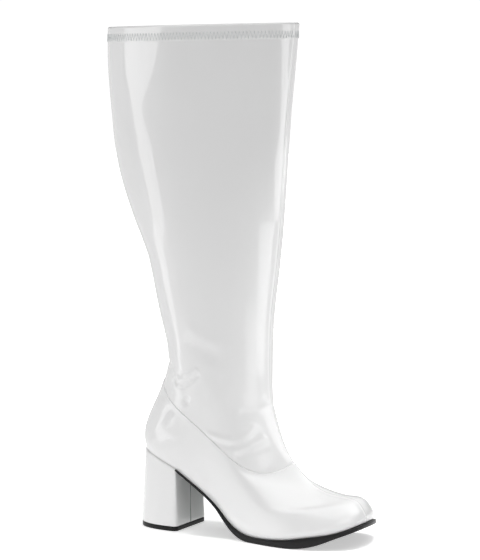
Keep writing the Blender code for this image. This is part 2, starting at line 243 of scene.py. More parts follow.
def underside_height(share):
    """Height of the outsole's underside at each share of the foot's length."""
    table = np.array(UNDERSIDE)
    return np.maximum(0.0, HEEL_HEIGHT * spline(table[:, 0], table[:, 1], share))


def row_table():
    """All rows of the upper in metres."""
    seat = seat_height(along(HEIGHT_ANGLES))
    rows = []
    for row in FOOT_ROWS:
        ends = FOOT_LENGTH * np.array(row[:2]) - SEAT_BACK
        heights = seat + LEG_HEIGHT * np.array(row[2:7])
        rows.append(np.concatenate((ends, heights, BALL_WIDTH * np.array(row[7:12]), row[12:])))
    for height, tilt, back, front, half in LEG_ROWS:
        ends = COLLAR_DEPTH * np.array((back, front))
        heights = HEEL_HEIGHT + LEG_HEIGHT * (height + tilt * np.cos(HEIGHT_ANGLES))
        widths = COLLAR_WIDTH * half * np.array(LEG_OVAL)
        rows.append(np.concatenate((ends, heights, widths, (0, 0))))
    return np.array(rows)


ROWS = row_table()
LAST_ROW = len(ROWS) - 1
ROW_GAP = ROWS[-1][4] - ROWS[-2][4]
COSINES = np.linalg.inv(np.cos(np.outer(HEIGHT_ANGLES, np.arange(5))))
SINES = np.linalg.inv(np.sin(np.outer(WIDTH_ANGLES, np.arange(1, 6))))
CURVE_TERMS = np.linalg.solve(
    np.cos(np.outer(CENTRE_ANGLES, np.arange(7))), BALL_WIDTH * np.array(CENTRE_LINE))
SEAT_TERMS = COSINES @ seat_height(along(HEIGHT_ANGLES))


def surface(places, angles):
    """Points of the upper's outer face at each row place (P) and angle from the back (P, A)."""
    places = np.asarray(places, dtype=float)
    angles = np.broadcast_to(angles, (len(places), np.shape(angles)[-1]))
    values = spline(np.arange(len(ROWS)), ROWS, places)
    share = along(angles)
    x = values[:, 0:1] + (values[:, 1:2] - values[:, 0:1]) * share
    cosines = np.cos(angles[..., None] * np.arange(7))
    sines = np.sin(angles[..., None] * np.arange(1, 6))
    z = np.einsum("pk,pak->pa", values[:, 2:7] @ COSINES.T, cosines[..., :5])
    z += values[:, 13:14] * (seat_height(share) - cosines[..., :5] @ SEAT_TERMS)
    y = values[:, 12:13] * (cosines @ CURVE_TERMS)
    y -= np.einsum("pk,pak->pa", values[:, 7:12] @ SINES.T, sines)
    return np.stack((x, y, z), axis=-1)


def surface_normals(places, angles):
    """Outward normals of the upper's outer face."""
    places = np.asarray(places, dtype=float)
    angles = np.asarray(angles)
    step, swing = 0.02, 0.004
    above = surface(np.minimum(places + step, LAST_ROW), angles)
    up = above - surface(np.maximum(places - step, 0), angles)
    turn = surface(places, angles + swing) - surface(places, angles - swing)
    normals = np.cross(turn, up)
    return normals / np.linalg.norm(normals, axis=-1)[..., None]


def seat_ring(angles):
    """Points of the upper's lowest row and the level directions outward there."""
    normals = surface_normals([0.0], angles)[0]
    normals[:, 2] = 0
    return surface([0.0], angles)[0], normals / np.linalg.norm(normals, axis=1)[:, None]


def smooth_step(low, high, value):
    """Share that rises softly from 0 at the low value to 1 at the high one."""
    t = np.clip((np.asarray(value) - low) / (high - low), 0.0, 1.0)
    return t * t * (3 - 2 * t)


def round_angles(places):
    """Angles right round each row: even ones, with close columns each side of the front centre."""
    front, swing, clear = np.pi, 0.01, 0.02
    near = np.array((front - swing, front))
    slope = np.linalg.norm(np.diff(surface(places, near), axis=1), axis=-1) / swing
    offsets = np.array(SEAM_COLUMNS)[None, :] / slope
    start = offsets[:, -1:] + clear
    even = np.linspace(0.0, 1.0, ROUND_COLUMNS // 2 + 1)[None, :] * (front - start)
    lateral = np.concatenate((even, front - offsets[:, ::-1]), axis=1)
    medial = 2 * front - lateral[:, 1:][:, ::-1]
    return np.concatenate((lateral, np.full((len(places), 1), front), medial), axis=1)


# Creases and dents of the worn-in patent, placed on the lateral side: points along the
# boot and up it, width and height (troughs are negative), all in millimetres, and the share of the
# height that shows on the medial side
CREASES = (
    (((22, 148), (28, 142), (35, 142.5), (44, 147.5), (55, 156)), 2.6, -1.2, 0.0),
    (((25, 152), (30, 147.5), (37, 148), (45, 153), (54, 159.5)), 2.4, 0.9, 0.0),
    (((2, 163), (10, 161), (20, 155)), 5.0, -1.1, 0.8),
    (((40, 199), (60, 190), (82, 180)), 7.0, 0.65, 0.5),
    (((40, 187), (58, 179), (74, 172)), 7.0, -0.5, 0.5),
    (((60, 99), (78, 95), (93, 94), (101, 100), (106, 109)), 3.2, 0.9, 0.6),
    (((66, 93), (84, 89), (98, 90)), 3.4, -0.6, 0.6),
    (((86, 82.5), (95, 85), (106, 91), (114, 97)), 3.2, 0.9, 0.6),
    (((93, 79), (106, 84), (118, 88)), 3.2, -0.5, 0.6),
    (((36, 129), (41, 125)), 4.8, -0.85, 0.0),
    (((97, 93), (102, 102), (105, 110)), 2.6, 0.6, 0.0),
    (((94, 120), (104, 121), (112, 124)), 4.0, -0.8, 0.7),
    (((60, 166), (76, 160), (90, 158)), 6.0, 0.35, 0.4),
    (((-34, 300), (-20, 292), (-4, 291)), 7.0, 0.35, 0.6),
    (((-28, 268), (-12, 262), (4, 262)), 7.0, -0.35, 0.6),
)


def crease_height(points):
    """Height in metres of all creases, which run out at their ends, at points of the upper."""
    x, y, z = (points[..., k] * 1000 for k in range(3))
    total = np.zeros(x.shape)
    for path, width, height, far in CREASES:
        nearest, share = np.full(x.shape, 1e6), np.zeros(x.shape)
        for k, ((x0, z0), (x1, z1)) in enumerate(zip(path, path[1:])):
            run = np.array((x1 - x0, z1 - z0), dtype=float)
            t = np.clip(((x - x0) * run[0] + (z - z0) * run[1]) / (run @ run), 0.0, 1.0)
            away = np.hypot(x - x0 - t * run[0], z - z0 - t * run[1])
            share = np.where(away < nearest, (k + t) / (len(path) - 1), share)
            nearest = np.minimum(nearest, away)
        fade = np.sqrt(np.clip(8 * share * (1 - share), 0.0, 1.0))
        side = far + (1 - far) * smooth_step(4.0, -4.0, y)
        total += height * fade * side * np.exp(-((nearest / width) ** 2))
    return total / 1000


# ---------------------------------------------------------------- mesh helpers


def grid_faces(rows, columns, start=0, close=True):
    """Quads between rings that follow each other, facing out for rings that climb."""
    r = np.arange(rows - 1)[:, None]
    c = np.arange(columns if close else columns - 1)[None, :]
    n = (c + 1) % columns
    a = start + r * columns + c
    b = start + r * columns + n
    return np.stack((a, b, b + columns, a + columns), axis=-1).reshape(-1, 4)


def new_object(name, data):
    """Object in the scene for a mesh, a light or a camera."""
    obj = bpy.data.objects.new(name, data)
    bpy.context.scene.collection.objects.link(obj)
    return obj


def new_piece(name, points, faces, materials, indices=None, smooth=True):
    """Mesh object at the origin, faces turned outward, with its materials."""
    mesh = bpy.data.meshes.new(name)
    mesh.from_pydata([tuple(p) for p in points], [], [tuple(int(i) for i in f) for f in faces])
    mesh.validate()
    bm = bmesh.new()
    bm.from_mesh(mesh)
    bmesh.ops.recalc_face_normals(bm, faces=bm.faces[:])
    bm.to_mesh(mesh)
    bm.free()
    for material in materials:
        mesh.materials.append(material)
    if indices is not None:
        mesh.polygons.foreach_set("material_index", np.asarray(indices, dtype=np.int32))
    if smooth:
        mesh.shade_smooth()
    mesh.update()
    return new_object(name, mesh)


def dress(obj, slot, *nodes):
    """Bind a piece to the frame's body and hide the nodes it stands for. The slot is not used."""
    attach(obj, BODY)
    if nodes:
        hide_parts(*nodes)


def cap(count, start=0, alone=0):
    """Faces straight across a ring whose two sides pair up. Its first point pairs with the last,
    or stands alone."""
    faces = [(start, start + 1, start + count - 1)] if alone else []
    for j in range(alone, (count + alone) // 2):
        across = [start + i for i in (j, j + 1, count - 2 - j + alone, count - 1 - j + alone)]
        if across[1] == across[2]:
            across.pop(2)
        faces.append(across)
    return faces


# ---------------------------------------------------------------- materials


def add_node(tree, kind, settings=None, links=None):
    """Add a node, set its properties and sockets, and link sockets to other nodes' outputs."""
    made = tree.nodes.new(kind)
    for key, value in (settings or {}).items():
        if not isinstance(key, int) and key not in made.inputs and hasattr(made, key):
            setattr(made, key, value)
        else:
            made.inputs[key].default_value = value
    for key, source in (links or {}).items():
        tree.links.new(source, made.inputs[key])
    return made


def new_material(name, comment, colour, **sockets):
    """Material with a Principled shader and constant socket values."""
    material = bpy.data.materials.new(name)
    material.use_nodes = True
    material["look"] = comment
    shader = material.node_tree.nodes["Principled BSDF"]
    shader.inputs["Base Color"].default_value = (*colour, 1.0)
    for key, value in sockets.items():
        shader.inputs[key.replace("_", " ")].default_value = value
    return material, material.node_tree, shader


def patent_leather(name, colour, painted_seam_shade=False):
    """PU-coated stretch patent: white film under a poured clear coat, faint orange peel and
    small dents that make the reflections of the lights waver. On the heel's wrap, a thin line
    of painted shade darkens the colour where its two edges meet on the breast."""
    material, tree, shader = new_material(
        name, "cast patent film", colour, Roughness=0.32, Coat_Weight=1.0,
        Coat_Roughness=0.035, Coat_IOR=1.5, IOR=1.5)
    spot = {"Vector": add_node(tree, "ShaderNodeTexCoord").outputs["Object"]}
    peel = add_node(tree, "ShaderNodeTexNoise", {"Scale": 260.0, "Detail": 2.0, "Roughness": 0.5},
                    spot)
    wave = add_node(tree, "ShaderNodeTexNoise", {"Scale": 38.0, "Detail": 1.0, "Roughness": 0.4},
                    spot)
    low = add_node(tree, "ShaderNodeBump", {"Strength": 0.12, "Distance": 0.0008},
                   {"Height": wave.outputs["Fac"]})
    fine = add_node(tree, "ShaderNodeBump", {"Strength": 0.05, "Distance": 0.0002},
                    {"Height": peel.outputs["Fac"], "Normal": low.outputs["Normal"]})
    tree.links.new(fine.outputs["Normal"], shader.inputs["Normal"])
    tree.links.new(fine.outputs["Normal"], shader.inputs["Coat Normal"])
    smudge = add_node(tree, "ShaderNodeTexNoise", {"Scale": 22.0, "Detail": 4.0}, spot)
    rough = add_node(tree, "ShaderNodeMapRange",
                     {"From Min": 0.35, "From Max": 0.7, "To Min": 0.28, "To Max": 0.38},
                     {"Value": smudge.outputs["Fac"]})
    tree.links.new(rough.outputs["Result"], shader.inputs["Roughness"])
    # Painted shade: down the middle of the heel breast the colour turns greenish grey (#8F9691) in
    # a thin line, standing in for the shade in the wrap's seam.
    if painted_seam_shade:
        axes = add_node(tree, "ShaderNodeSeparateXYZ", links=spot)
        span = add_node(tree, "ShaderNodeMath", {"operation": "ABSOLUTE"}, {0: axes.outputs["Y"]})
        line = add_node(tree, "ShaderNodeMapRange", {"From Min": 0.0004, "From Max": 0.0011},
                        {"Value": span.outputs["Value"]})
        behind = add_node(tree, "ShaderNodeMath", {"operation": "LESS_THAN", 1: 0.02},
                          {0: axes.outputs["X"]})
        clear = add_node(tree, "ShaderNodeMath", {"operation": "MAXIMUM"},
                         {0: line.outputs["Result"], 1: behind.outputs["Value"]})
        tone = add_node(tree, "ShaderNodeMixRGB",
                        {"Color1": (*linear("#8F9691"), 1.0), "Color2": (*colour, 1.0)},
                        {"Fac": clear.outputs["Value"]})
        tree.links.new(tone.outputs["Color"], shader.inputs["Base Color"])
    return material


def one_bump(tree, shader, kind, settings, strength, distance, output="Fac"):
    """Give a shader the bump of one texture in object coordinates."""
    where = add_node(tree, "ShaderNodeTexCoord")
    texture = add_node(tree, kind, settings, {"Vector": where.outputs["Object"]})
    bump = add_node(tree, "ShaderNodeBump", {"Strength": strength, "Distance": distance},
                    {"Height": texture.outputs[output]})
    tree.links.new(bump.outputs["Normal"], shader.inputs["Normal"])


def textile_lining(colour):
    """Knitted polyester backing: matt, with ribs that break up its shade. They lie 1.2 mm apart,
    coarser than the real knit so that they show."""
    material, tree, shader = new_material("knitted_lining", "knitted backing", colour,
                                          Roughness=0.85, Sheen_Weight=0.2)
    one_bump(tree, shader, "ShaderNodeTexWave", {
        "wave_type": "BANDS", "bands_direction": "Z", "Scale": 265.0, "Distortion": 1.5},
        0.35, 0.0003)
    return material


def moulded_rubber(name, colour, roughness):
    """Moulded thermoplastic rubber: satin black, faint speckle of the mould."""
    material, tree, shader = new_material(name, "moulded rubber", colour, Roughness=roughness,
                                          Specular_IOR_Level=0.3)
    one_bump(tree, shader, "ShaderNodeTexNoise", {"Scale": 900.0, "Detail": 2.0}, 0.15, 0.0002)
    return material


def sock_fabric(colour):
    """Foam-backed sock lining: soft matt cloth with a fine weave."""
    material, tree, shader = new_material("sock_cloth", "woven sock lining", colour,
                                          Roughness=0.9, Sheen_Weight=0.3)
    one_bump(tree, shader, "ShaderNodeTexVoronoi", {"Scale": 900.0}, 0.3, 0.0003, "Distance")
    return material


def sewing_thread(colour):
    """Polyester sewing thread: slightly shiny twisted strands."""
    material, tree, shader = new_material("sewing_thread", "twisted polyester", colour,
                                          Roughness=0.5, Sheen_Weight=0.2)
    one_bump(tree, shader, "ShaderNodeTexNoise", {"Scale": 2500.0}, 0.3, 0.0001)
    return material


# ---------------------------------------------------------------- settings


def length(label, text, value):
    """Property for a length in metres."""
    return bpy.props.FloatProperty(name=label, description=text, default=value, min=0.0,
                                   subtype="DISTANCE", unit="LENGTH", precision=5)


def colour(label, text, code):
    """Property for a colour, with its default as an sRGB hex code."""
    return bpy.props.FloatVectorProperty(name=label, description=text, default=linear(code),
                                         size=3, min=0.0, max=1.0, subtype="COLOR")


class BootSizes(bpy.types.PropertyGroup):
    """Small sizes of the pieces"""

    wall: length("Wall", "Thickness of the upper with its lining", 0.0015)
    panel_step: length("Panel step", "How far the foot panel stands out of the shaft", 0.0006)
    hem_depth: length("Hem depth", "Height of the turned hem at the collar", 0.014)
    hem_step: length("Hem step", "How far the hem stands out of the shaft", 0.0003)
    seam_rise: length("Seam rise", "Height of the raised front seam", 0.00055)
    seam_width: length("Seam width", "Width of the raised front seam", 0.0028)
    sole_rim: length("Sole rim", "How far the sole stands out under the upper", 0.0025)
    sole_edge: length("Sole edge", "Radius of the sole's edges", 0.0009)
    heel_edge: length("Heel edge", "Radius of the heel block's edges", 0.0012)
    stitch_pitch: length("Stitch pitch", "Length of one zigzag of the hem stitch", 0.0034)
    stitch_width: length("Stitch width", "Width of the zigzag of the hem stitch", 0.0068)
    stitch_drop: length("Stitch drop", "Middle of the hem stitch below the collar edge", 0.0102)
    thread: length("Thread", "Thickness of the sewing thread", 0.0005)


class BootColours(bpy.types.PropertyGroup):
    """Base colours of the pieces and the floor"""

    patent: colour("Patent", "White patent film of the upper and heel", "#EFEFEF")
    lining: colour("Lining", "Knitted lining inside the shaft", "#E4E1DA")
    rubber: colour("Rubber", "Outsole and top piece", "#060607")
    sock: colour("Sock", "Sock lining on the insole", "#DAD5CB")
    thread: colour("Thread", "Sewing thread of the hem", "#DFE2E2")
    floor: colour("Floor", "Studio floor", "#F4F4F4")


# ---------------------------------------------------------------- pieces


class BOOT_OT_upper(bpy.types.Operator):
    """Dense patent upper with its foot panel, hem, front seam, creases and lining"""

    bl_idname = "boot.upper"
    bl_label = "Patent upper"

    def execute(self, context):
        sizes, colours = context.scene.boot_sizes, context.scene.boot_colours
        places = upper_places(sizes)
        angles = round_angles(places)
        outer = surface(places, angles)
        normals = surface_normals(places, angles)
        rise = upper_relief(places, angles, outer, sizes)
        outer = outer + normals * rise[..., None]
        above, below = LINING_ROWS
        inner_places = np.concatenate((np.linspace(LAST_ROW, PANEL_ROW, above),
                                       np.linspace(PANEL_ROW, 0.0, below)[1:]))
        inner_angles = round_angles(inner_places)
        inner = surface(inner_places, inner_angles)
        inner = inner - surface_normals(inner_places, inner_angles) * sizes.wall
        inner[0, :, 2] -= LINING_DROP
        columns = angles.shape[1]
        crown = (outer[-1] + inner[0]) / 2
        crown[:, 2] = outer[-1, :, 2] + COLLAR_CROWN
        rings = np.concatenate((outer, crown[None], inner), axis=0)
        # the last ring joins the first under the sole's edge
        faces = grid_faces(len(rings) + 1, columns) % (len(rings) * columns)
        ring = np.repeat(np.arange(len(rings)), columns)
        # the patent turns in over the crown's ring and two more
        lining = (ring >= len(places) + 3) & (ring < len(rings) - 1)
        finishes = [patent_leather("white_patent", colours.patent), textile_lining(colours.lining)]
        obj = new_piece("patent_upper", rings.reshape(-1, 3), faces, finishes, lining)
        dress(obj, "upper_patent", "upper")
        return {"FINISHED"}


def upper_places(sizes):
    """Row places from the sole to the collar, close together at the panel edge and the hem."""
    hem = LAST_ROW - sizes.hem_depth / ROW_GAP
    blend = HEM_BLEND / ROW_GAP
    reach = 0.12
    stops = (0.0, 0.6, PANEL_ROW - reach, PANEL_ROW + reach, hem - blend, hem + blend,
             LAST_ROW - COLLAR_ROUND / ROW_GAP, LAST_ROW)
    counts = (14, 90, 17, 150, 13, 9, 5)
    spans = [np.linspace(low, high, count)[:-1]
             for low, high, count in zip(stops, stops[1:], counts)]
    return np.concatenate(spans + [[LAST_ROW]])


def upper_relief(places, angles, points, sizes):
    """Height of the steps, the seam and the creases over the plain form."""
    rise = np.zeros(angles.shape)
    panel = 1 - smooth_step(PANEL_ROW - 0.02, PANEL_ROW + 0.03, places)
    rise += sizes.panel_step * panel[:, None]
    middle, width = 0.035, 0.025
    groove = np.exp(-((places - PANEL_ROW - middle) / width) ** 2)
    rise -= PANEL_GROOVE * groove[:, None]
    hem = LAST_ROW - sizes.hem_depth / ROW_GAP
    width = HEM_EDGE / ROW_GAP
    rise += sizes.hem_step * smooth_step(hem - width, hem + width, places)[:, None]
    top = smooth_step(LAST_ROW - COLLAR_ROUND / ROW_GAP, LAST_ROW, places)
    rise -= (sizes.hem_step + COLLAR_INSET) * (top**2)[:, None]
    front = surface(places, np.array((np.pi,)))
    span = np.linalg.norm(surface(places, angles) - front, axis=-1)
    rise += sizes.seam_rise * np.exp(-(span / (sizes.seam_width / 2)) ** 2)
    rise += crease_height(points)
    return rise


def zigzag_tree(material):
    """Node group that lays a zigzag along a path: one short thread for each half pitch."""
    tree = bpy.data.node_groups.new("zigzag_stitches", "GeometryNodeTree")
    face = tree.interface
    face.new_socket("Geometry", in_out="INPUT", socket_type="NodeSocketGeometry")
    for name in ("Pitch", "Width", "Thread"):
        face.new_socket(name, in_out="INPUT", socket_type="NodeSocketFloat")
    face.new_socket("Seed", in_out="INPUT", socket_type="NodeSocketInt")
    face.new_socket("Geometry", in_out="OUTPUT", socket_type="NodeSocketGeometry")
    given = add_node(tree, "NodeGroupInput").outputs

    def calc(operation, first, second=None):
        """Output of a maths node for sockets or floats."""
        made = add_node(tree, "ShaderNodeMath", {"operation": operation})
        for socket, value in zip(made.inputs, (first, second)):
            if isinstance(value, float):
                socket.default_value = value
            elif value is not None:
                tree.links.new(value, socket)
        return made.outputs[0]

    half = calc("MULTIPLY", given["Pitch"], 0.5)
    line = add_node(tree, "GeometryNodeMeshToCurve", links={"Mesh": given["Geometry"]})
    path = add_node(tree, "GeometryNodeResampleCurve", {"mode": "LENGTH"},
                    {"Curve": line.outputs[0], "Length": half})
    square = calc("ADD", calc("MULTIPLY", half, half),
                    calc("MULTIPLY", given["Width"], given["Width"]))
    radius = calc("MULTIPLY", given["Thread"], 0.5)
    thread = add_node(tree, "GeometryNodeMeshCylinder", {"Vertices": 6},
                      {"Radius": radius, "Depth": calc("SQRT", square)})
    tangent = add_node(tree, "GeometryNodeInputTangent")
    level = add_node(tree, "FunctionNodeAlignRotationToVector", {"axis": "X", "pivot_axis": "Z"},
                     {"Vector": tangent.outputs[0]})
    index = add_node(tree, "GeometryNodeInputIndex")
    way = calc("SUBTRACT", calc("MULTIPLY", calc("MODULO", index.outputs[0], 2.0), 2.0), 1.0)
    loose = add_node(tree, "FunctionNodeRandomValue", {"data_type": "FLOAT"},
                     {"Seed": given["Seed"]})
    sockets = [s for s in loose.inputs if s.type == "VALUE"]
    sockets[0].default_value, sockets[1].default_value = 0.94, 1.06
    wide = next(s for s in loose.outputs if s.type == "VALUE")
    lean = calc("MULTIPLY", calc("MULTIPLY", way, calc("ARCTAN2", half, given["Width"])), wide)
    turn = add_node(tree, "ShaderNodeCombineXYZ", links={"Y": lean})
    tilt = add_node(tree, "FunctionNodeEulerToRotation", links={"Euler": turn.outputs[0]})
    both = add_node(tree, "FunctionNodeRotateRotation", {"rotation_space": "LOCAL"},
                    {"Rotation": level.outputs[0], "Rotate By": tilt.outputs[0]})
    laid = add_node(tree, "GeometryNodeInstanceOnPoints", links={
        "Points": path.outputs[0], "Instance": thread.outputs["Mesh"],
        "Rotation": both.outputs[0]})
    real = add_node(tree, "GeometryNodeRealizeInstances", links={"Geometry": laid.outputs[0]})
    coat = add_node(tree, "GeometryNodeSetMaterial", {"Material": material},
                    {"Geometry": real.outputs[0]})
    add_node(tree, "NodeGroupOutput", links={"Geometry": coat.outputs[0]})
    return tree


class BOOT_OT_stitches(bpy.types.Operator):
    """Zigzag stitch round the hem of the collar"""

    bl_idname = "boot.stitches"
    bl_label = "Hem stitches"

    def execute(self, context):
        sizes, colours = context.scene.boot_sizes, context.scene.boot_colours
        place = [LAST_ROW - sizes.stitch_drop / ROW_GAP]
        angles = np.linspace(0.0, 2 * np.pi, STITCH_POINTS + 1)[:-1]
        lift = sizes.hem_step + sizes.thread * 0.2
        path = surface(place, angles)[0] + surface_normals(place, angles)[0] * lift
        links = [(k, (k + 1) % len(path)) for k in range(len(path))]
        mesh = bpy.data.meshes.new("stitch_path")
        mesh.from_pydata([tuple(p) for p in path], links, [])
        guide = new_object("stitch_path", mesh)
        material = sewing_thread(colours.thread)
        tree = zigzag_tree(material)
        layer = guide.modifiers.new("zigzag", "NODES")
        layer.node_group = tree
        values = {"Pitch": sizes.stitch_pitch, "Width": sizes.stitch_width,
                  "Thread": sizes.thread, "Seed": 7}
        for item in tree.interface.items_tree:
            if item.in_out == "INPUT" and item.name in values:
                layer[item.identifier] = values[item.name]
        guide.update_tag()
        ready = guide.evaluated_get(context.evaluated_depsgraph_get())
        laid = bpy.data.meshes.new_from_object(ready)
        if not laid.polygons:
            self.report({"ERROR"}, "The hem stitches came out empty")
            return {"CANCELLED"}
        guide.modifiers.remove(layer)
        bpy.data.objects.remove(guide)
        obj = new_object("hem_stitches", laid)
        laid.shade_smooth()
        dress(obj, "upper_patent")
        return {"FINISHED"}


class BOOT_OT_outsole(bpy.types.Operator):
    """Black outsole from the heel breast to the toe with rounded edges"""

    bl_idname = "boot.outsole"
    bl_label = "Outsole"

    def execute(self, context):
        sizes, colours = context.scene.boot_sizes, context.scene.boot_colours
        start = math.acos(1 - 2 * (BREAST_X + SEAT_BACK) / FOOT_LENGTH)
        half = np.linspace(start, np.pi, SOLE_COLUMNS + 1)
        angles = np.concatenate((half, 2 * np.pi - half[-2::-1]))
        share = along(angles)
        top = seat_height(share) - PIECE_GAP
        under = underside_height(share)
        outline = sizes.panel_step + sizes.sole_rim
        largest = 0.4
        ease = np.minimum(sizes.sole_edge, (top - under) * largest)
        loop, normals = seat_ring(angles)
        rings = []

        def ring(reach, height):
            points = loop + normals * np.broadcast_to(reach, len(angles))[:, None]
            points[:, 2] = height
            points[0, 0] = points[-1, 0] = BREAST_X + BREAST_GAP
            rings.append(points)

        ring(sizes.panel_step - SOLE_TUCK, top)
        ring(outline - 1.3 * ease, top)
        for turn in QUARTER_TURN:
            ring(outline - ease * (1 - math.sin(turn)), top - ease * (1 - math.cos(turn)))
        for turn in QUARTER_TURN:
            ring(outline - ease * (1 - math.cos(turn)), under + ease * (1 - math.sin(turn)))
        ring(outline - 1.3 * ease, under)
        ring(outline - 4 * ease, under)
        columns = len(angles)
        faces = list(grid_faces(len(rings), columns))
        faces += cap(columns) + cap(columns, (len(rings) - 1) * columns)
        obj = new_piece("moulded_outsole", np.concatenate(rings), faces,
                        [moulded_rubber("black_rubber_sole", colours.rubber, 0.32)])
        dress(obj, "outsole_rubber", "outsole")
        return {"FINISHED"}


def heel_foot_half(height, inset):
    """Half outline of the heel's foot: x, lateral y, medial y and height, from the back."""
    turn = np.linspace(0.0, np.pi / 2, HEEL_STEPS + 1)
    back, side = HEEL_BASE_POWERS
    reach = HEEL_BASE_LENGTH - inset - HEEL_BASE_CORNER
    x = BREAST_X - HEEL_BASE_CORNER - reach * np.cos(turn) ** back
    y = (HEEL_BASE_WIDTH / 2 - inset) * np.sin(turn) ** side
    corner = HEEL_BASE_CORNER - inset
    return rounded_half(x, HEEL_BASE_SHIFT - y, HEEL_BASE_SHIFT + y, corner, height)


def heel_seat_half(drop):
    """Half outline of the heel under the seat, in the same order."""
    end = math.acos(1 - 2 * (BREAST_X - HEEL_SEAT_CORNER + SEAT_BACK) / FOOT_LENGTH)
    sides = []
    for way in (1, -1):
        points, normals = seat_ring(way * np.linspace(0.0, end, HEEL_STEPS + 1))
        sides.append(points + way * normals * (PANEL_PROUD + HEEL_PROUD))
    x = sides[0][:, 0]
    x += (BREAST_X - HEEL_SEAT_CORNER - x[-1]) * np.linspace(0.0, 1.0, HEEL_STEPS + 1) ** 2
    half = rounded_half(x, sides[0][:, 1], sides[1][:, 1], HEEL_SEAT_CORNER, 0.0)
    half[:, 3] = seat_height((half[:, 0] + SEAT_BACK) / FOOT_LENGTH) - drop
    return half


def rounded_half(x, lateral, medial, radius, height):
    """Half outline carried round the corner into the flat breast."""
    turn = np.linspace(0.0, np.pi / 2, CORNER_STEPS + 1)[1:]
    x = np.concatenate((x, x[-1] + radius * np.sin(turn)))
    lateral = np.concatenate((lateral, lateral[-1] + radius * (1 - np.cos(turn))))
    medial = np.concatenate((medial, medial[-1] - radius * (1 - np.cos(turn))))
    return np.stack((x, lateral, medial, np.full(len(x), height)), axis=1)


def heel_ring(half, breast):
    """Ring right round the heel: lateral side, breast face at the given shares, medial side."""
    end = half[-1]
    face = [(end[0], end[1] + (end[2] - end[1]) * share, end[3]) for share in breast]
    return np.concatenate((half[:, (0, 1, 3)], face, half[:0:-1, (0, 2, 3)]))


def closed_stack(rings):
    """Points and faces of rings that follow each other, closed by fans at both ends."""
    columns = len(rings[0])
    faces = list(grid_faces(len(rings), columns))
    points = np.concatenate(rings + [np.array([rings[0].mean(axis=0), rings[-1].mean(axis=0)])])
    total = len(rings) * columns
    for k in range(columns):
        n = (k + 1) % columns
        faces.append((k, n, total))
        faces.append((total - columns + k, total - columns + n, total + 1))
    return points, faces


class BOOT_OT_heel(bpy.types.Operator):
    """Covered heel block with rounded edges and the wrap's seam down its breast"""

    bl_idname = "boot.heel"
    bl_label = "Covered heel"

    def execute(self, context):
        sizes, colours = context.scene.boot_sizes, context.scene.boot_colours
        breast = [share for share, depth in BREAST_SEAM]
        edge, base = sizes.heel_edge, TIP_THICKNESS + PIECE_GAP
        rings = [heel_ring(heel_foot_half(base + lift * edge, pull * edge), breast)
                 for pull, lift in HEEL_EDGE_RINGS]
        foot = rings[-1]
        seat = heel_ring(heel_seat_half(SEAT_GAP), breast)
        shares = np.linspace(0.0, 1.0, HEEL_RINGS)[1:]
        rings += [foot + (seat - foot) * share for share in shares]
        start = len(heel_foot_half(0.0, 0.0))
        for ring in rings:
            for k, (_, depth) in enumerate(BREAST_SEAM):
                ring[start + k, 0] -= depth
        points, faces = closed_stack(rings)
        # The heel's patent carries the painted shade line of the wrap's seam.
        obj = new_piece("covered_heel", points, faces,
                        [patent_leather("heel_patent_wrap", colours.patent, painted_seam_shade=True)])
        dress(obj, "heel_patent", "heel_block")
        return {"FINISHED"}


class BOOT_OT_top_piece(bpy.types.Operator):
    """Black rubber top piece under the heel"""

    bl_idname = "boot.top_piece"
    bl_label = "Top piece"

    def execute(self, context):
        colours = context.scene.boot_colours
        breast = (0.15, 0.3, 0.5, 0.7, 0.85)
        levels = ((0.0, 0.0007), (0.0001, 0.0003), (0.0004, 0.0001), (0.0008, 0.0),
                  (TIP_THICKNESS - 0.0006, 0.0), (TIP_THICKNESS - 0.0002, 0.0001),
                  (TIP_THICKNESS, 0.0004))
        rings = [heel_ring(heel_foot_half(height, TIP_INSET + pull), breast)
                 for height, pull in levels]
        points, faces = closed_stack(rings)
        obj = new_piece("rubber_top_piece", points, faces,
                        [moulded_rubber("black_rubber_tip", colours.rubber, 0.4)])
        dress(obj, "tip_rubber", "top_piece")
        return {"FINISHED"}


class BOOT_OT_sock(bpy.types.Operator):
    """Sock lining on the insole board, following the arch"""

    bl_idname = "boot.sock"
    bl_label = "Sock lining"

    def execute(self, context):
        sizes, colours = context.scene.boot_sizes, context.scene.boot_colours
        half = np.linspace(0.0, np.pi, SOCK_COLUMNS + 1)
        angles = np.concatenate((half, 2 * np.pi - half[-2:0:-1]))
        share = along(angles)
        rings = []
        levels = ((0.0, 0.0003, 0.0003), (0.25, 0.0015, 0.0003), (0.45, 0.0024, 0.0006),
                  (0.5, 0.0027, 0.0012), (0.5, 0.0028, 0.003))
        for place, lift, inset in levels:
            points = surface([place], angles)[0]
            normals = surface_normals([place], angles)[0]
            points = points - normals * (sizes.wall + inset)
            points[:, 2] = seat_height(share) + lift
            rings.append(points)
        columns = len(angles)
        faces = list(grid_faces(len(rings), columns))
        faces += cap(columns, 0, 1) + cap(columns, (len(rings) - 1) * columns, 1)
        obj = new_piece("sock_lining", np.concatenate(rings), faces, [sock_fabric(colours.sock)])
        dress(obj, "insole_board", "insole")
        return {"FINISHED"}


# ---------------------------------------------------------------- stage


# Soft lights: azimuth from the camera's direction in degrees, positive to its right, height,
# distance, width, length, watts, point aimed at, spread in degrees, whether the gloss mirrors it
LIGHTS = (
    ("overhead", 0, 1.9, 0.2, 2.6, 2.6, 22.5, (STAGE_X, 0, 0), 180, True),
    ("vamp_light", 61.3, 0.5, 0.26, 0.16, 0.12, 0.08, (0.16, 0, 0.03), 55, False),
    ("left_fill", -100, 0.35, 1.0, 0.6, 0.6, 1.1, (STAGE_X, 0, 0.35), 180, False),
)
